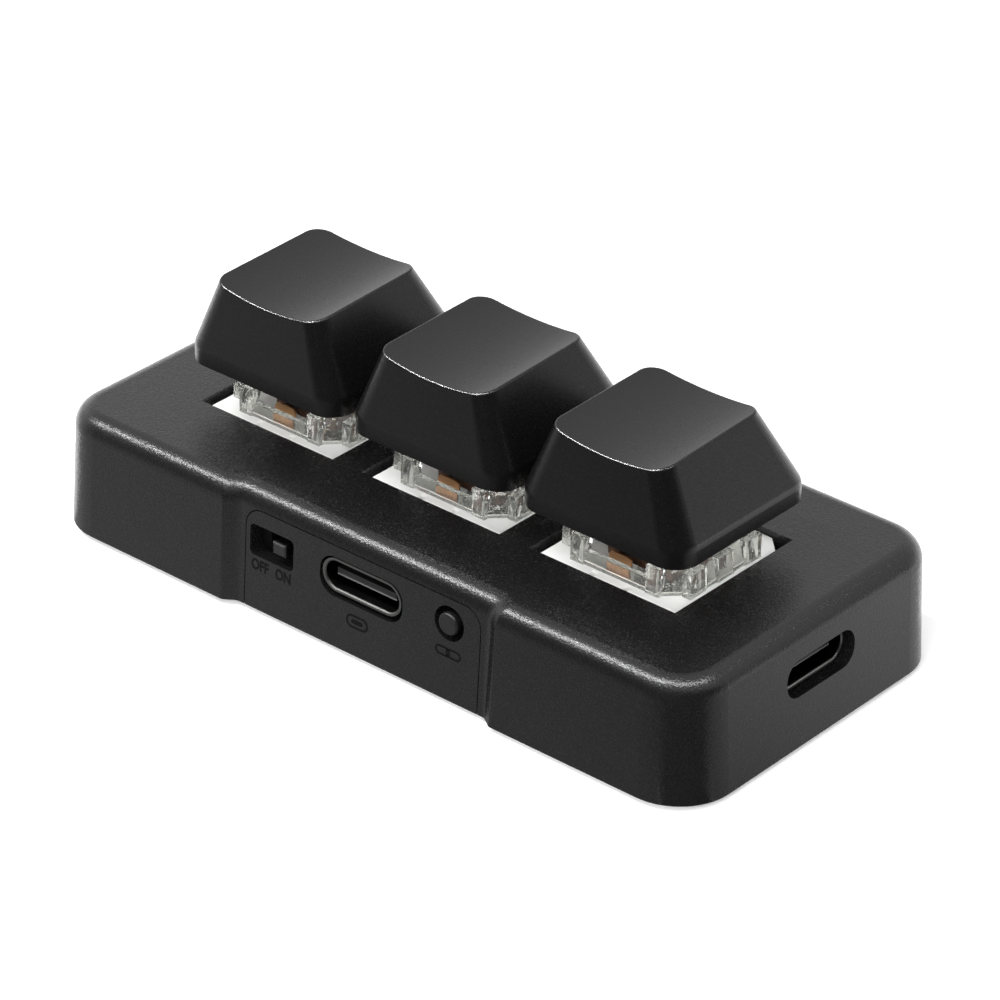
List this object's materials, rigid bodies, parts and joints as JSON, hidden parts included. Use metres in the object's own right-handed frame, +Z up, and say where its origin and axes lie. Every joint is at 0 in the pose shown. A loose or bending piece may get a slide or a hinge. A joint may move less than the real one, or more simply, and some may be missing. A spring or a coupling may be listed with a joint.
{
  "type": "mini keypad",
  "caption": "Low keypad with a row of sprung square keys, a port panel with a slide switch, a USB-C socket and a push button, and a second socket in one end.",
  "frame": {"origin": "on the table, under the middle of the case", "axes": "+X along the key row, +Y away from the port panel, +Z up"},
  "size_m": [0.0732, 0.0358, 0.0249],
  "materials": {
    "case_plastic": "satin, fine spark texture",
    "keycap_plastic": "satin",
    "stem_plastic": "smooth",
    "clear_plastic": "clear",
    "white_plastic": "smooth",
    "spring_steel": "bright wire",
    "copper_sheet": "rolled sheet",
    "socket_steel": "plated",
    "black_insulator": "smooth",
    "control_plastic": "satin",
    "board_laminate": "coated",
    "cell_wrap": "film",
    "module_lid": "tinned",
    "screw_steel": "black oxide",
    "foot_rubber": "matte"
  },
  "bodies": {
    "case": {"battery": "cell_wrap", "bottom_cover": "case_plastic", "case_screws": "screw_steel", "controller_module": "module_lid", "front_usb_insulator": "black_insulator", "front_usb_shell": "socket_steel", "key_1_contact_leaf": "copper_sheet", "key_1_fixed_contact": "copper_sheet", "key_1_lower_housing": "white_plastic", "key_1_spring": "spring_steel", "key_1_upper_housing": "clear_plastic", "key_2_contact_leaf": "copper_sheet", "key_2_fixed_contact": "copper_sheet", "key_2_lower_housing": "white_plastic", "key_2_spring": "spring_steel", "key_2_upper_housing": "clear_plastic", "key_3_contact_leaf": "copper_sheet", "key_3_fixed_contact": "copper_sheet", "key_3_lower_housing": "white_plastic", "key_3_spring": "spring_steel", "key_3_upper_housing": "clear_plastic", "main_board": "board_laminate", "port_panel": "case_plastic", "rubber_feet": "foot_rubber", "side_usb_insulator": "black_insulator", "side_usb_shell": "socket_steel", "slide_switch_body": "black_insulator", "tact_switch": "black_insulator", "top_shell": "case_plastic"},
    "key_1": {"key_1_cap": "keycap_plastic", "key_1_stem": "stem_plastic"},
    "key_2": {"key_2_cap": "keycap_plastic", "key_2_stem": "stem_plastic"},
    "key_3": {"key_3_cap": "keycap_plastic", "key_3_stem": "stem_plastic"},
    "power_slider": {"power_slider": "control_plastic"},
    "connect_button": {"connect_button": "control_plastic", "tact_plunger": "control_plastic"}
  },
  "joints": [
    {"name": "key_1_press", "type": "slide", "parent": "case", "child": "key_1", "axis": [0, 0, -1], "range_m": [0, 0.004], "stiffness_N_per_m": 75, "springref_m": -0.004, "deforming": ["key_1_spring"]},
    {"name": "key_2_press", "type": "slide", "parent": "case", "child": "key_2", "axis": [0, 0, -1], "range_m": [0, 0.004], "stiffness_N_per_m": 75, "springref_m": -0.004, "deforming": ["key_2_spring"]},
    {"name": "key_3_press", "type": "slide", "parent": "case", "child": "key_3", "axis": [0, 0, -1], "range_m": [0, 0.004], "stiffness_N_per_m": 75, "springref_m": -0.004, "deforming": ["key_3_spring"]},
    {"name": "power_slide", "type": "slide", "parent": "case", "child": "power_slider", "axis": [-1, 0, 0], "range_m": [0, 0.0015]},
    {"name": "connect_press", "type": "slide", "parent": "case", "child": "connect_button", "axis": [0, 1, 0], "range_m": [0, 0.0003], "stiffness_N_per_m": 500, "springref_m": -0.001}
  ]
}
